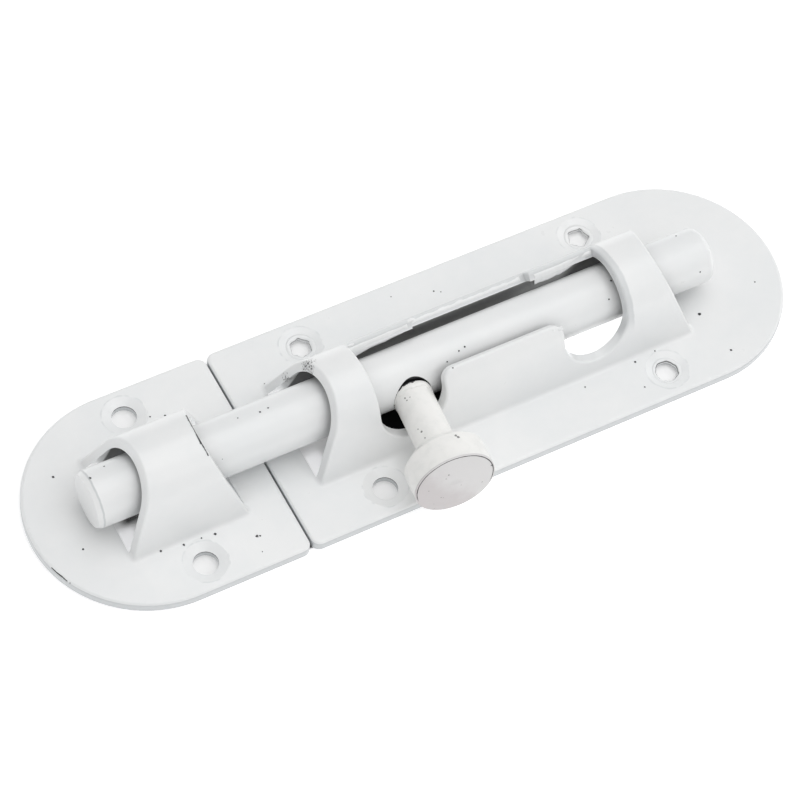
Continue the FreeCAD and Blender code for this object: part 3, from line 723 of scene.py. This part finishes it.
def make_floor():
    """A white floor with an even glow, painted shade where it lies under the object's pieces, less glow in
    the screw holes as painted shade, and more glow in the bridges' mouths and the second notch as painted
    light.

    The keeper can leave its place, so the painted shade there counts only where something hides the sky.
    """
    finish = Finish("floor_white")
    along, across, _ = finish.axes(finish.millimetres())
    middle = sum(SECOND_NOTCH) / 2
    notch = abs(along - middle).fall(SECOND_NOTCH[1] - middle - 0.5, SECOND_NOTCH[1] - middle)
    before_bar = abs(across + 5.5).fall(4.5, 5.5) * notch
    near_sky = finish.sky(NEAR_SKY, 16)
    wide_sky = finish.sky(WIDE_SKY, 12)
    dark, dark_gap = floor_dark(along, across, notch, near_sky)
    front_mouth, back_mouth = floor_mouths(along, across)
    plates = below_plates(along, across)
    # Painted light and shade in the floor's glow
    glow = finish.blend(plates, FLOOR_GLOW, HOLE_GLOW)
    glow = finish.blend(front_mouth, glow, MOUTH_GLOW)
    glow = finish.blend(back_mouth, glow, BACK_MOUTH_GLOW)
    glow = finish.blend(before_bar, glow, NOTCH_GLOW)
    glow = finish.blend(dark, glow, UNLIT)
    below_main = along.rise(PLATE_GAP[1] - 0.05, PLATE_GAP[1] + 0.05)
    covered = below_main.most(near_sky.fall(0.90, 1.0))
    # Where the keeper can move, the floor's painted shade and light follow how much of the sky is hidden
    loose = finish.blend(wide_sky.fall(0.03, 0.12), MOUTH_GLOW, UNLIT)
    loose = finish.blend(wide_sky.rise(0.42, 0.55), loose, FLOOR_GLOW)
    glow = finish.blend(covered * plates.most(dark_gap), loose, glow)
    # The floor's colour goes black where shade is painted
    inputs = {
        "Base Color": finish.blend(dark, FLOOR_WHITE, SHADE_BLACK),
        "Roughness": 0.9,
        "Emission Color": glow,
        "Emission Strength": 1.0,
    }
    shader = finish.node("ShaderNodeBsdfPrincipled", None, inputs)
    finish.node("ShaderNodeOutputMaterial", None, {"Surface": shader.outputs[0]})
    bpy.ops.mesh.primitive_plane_add(size=FLOOR_SIDE, location=(0, 0, -FLOOR_DROP))
    floor = bpy.context.object
    floor.name = "floor"
    floor.data.materials.append(finish.material)


def make_light():
    """Even white surroundings and three broad soft lamps."""
    world = bpy.data.worlds.new("studio")
    bpy.context.scene.world = world
    world.use_nodes = True
    background = world.node_tree.nodes["Background"]
    background.inputs["Color"].default_value = (1.0, 1.0, 1.0, 1.0)
    background.inputs["Strength"].default_value = SURROUNDINGS
    for name, energy, size, place in LAMPS:
        lamp = bpy.data.lights.new(name, "AREA")
        lamp.energy = energy
        lamp.size = size
        holder = bpy.data.objects.new(name, lamp)
        bpy.context.scene.collection.objects.link(holder)
        holder.location = place
        holder.rotation_euler = (-Vector(place)).to_track_quat("-Z", "Y").to_euler()
    bpy.context.scene.view_settings.view_transform = "Standard"


def make_camera():
    """The camera at the photograph's angle."""
    back = Vector(
        (
            math.sin(CAMERA_AZIMUTH) * math.cos(CAMERA_ELEVATION),
            -math.cos(CAMERA_AZIMUTH) * math.cos(CAMERA_ELEVATION),
            math.sin(CAMERA_ELEVATION),
        )
    )
    level = Vector((math.cos(CAMERA_AZIMUTH), math.sin(CAMERA_AZIMUTH), 0))
    upright = back.cross(level)
    right = math.cos(CAMERA_ROLL) * level + math.sin(CAMERA_ROLL) * upright
    up = back.cross(right)
    data = bpy.data.cameras.new("camera")
    data.sensor_width = SENSOR_MM
    data.lens = FOCAL_PX * SENSOR_MM / IMAGE_SIDE_PX
    data.clip_start = CLIP_START
    camera = bpy.data.objects.new("camera", data)
    bpy.context.scene.collection.objects.link(camera)
    turn = Matrix((right, up, back)).transposed().to_4x4()
    camera.matrix_world = Matrix.Translation(CAMERA_TARGET + CAMERA_DISTANCE * back) @ turn
    bpy.context.scene.camera = camera


paint = enamel("paint_runs", "run", MAIN_SPECKS, MAIN_HOLES)
knob_paint = knob_enamel("knob_paint_runs", KNOB_SPECKS)
plate_enamel = enamel("plate_enamel", "sheet", MAIN_SPECKS, MAIN_HOLES, patches=ROUGH_PLACES, worn_rim=True)
dress("main_plate", plate_enamel)
dress("keeper_plate", enamel("keeper_enamel", "sheet", KEEPER_SPECKS, KEEPER_HOLES, KEEPER_RIM_SHADOW_AND_DENT_LINES))
dress("bolt", enamel("bar_enamel", "bar", BAR_SPECKS))
dress("knob", knob_enamel("knob_enamel", KNOB_SPECKS))
hole_paint("hole_paint_left_back", -33.5, 18.7, 6, 0.3, 2.3)
hole_paint("hole_paint_right_back", 33.5, 18.7, 5, 0.9, 2.35)
hole_paint("hole_paint_right_front", 33.5, -18.7, 7, 0.2, 2.45)
root_paint("root_paint")
wide_start, wide_end = SLOT_WIDE_PART
lip_burr("lip_burr_left", SLOT[0], wide_start - BURR_GAP, LIP_ANGLE, 0.4, LEFT_BENDS)
lip_burr("lip_burr_middle", wide_start + BURR_GAP, wide_end - BURR_GAP, LIP_WIDE_ANGLE, 0.25, ())
lip_burr("lip_burr_right", wide_end + BURR_GAP, SLOT[1], LIP_ANGLE, 0.5, RIGHT_BENDS)
paint_lumps("lip_lumps", LIP_LUMPS)
make_floor()
make_light()
make_camera()
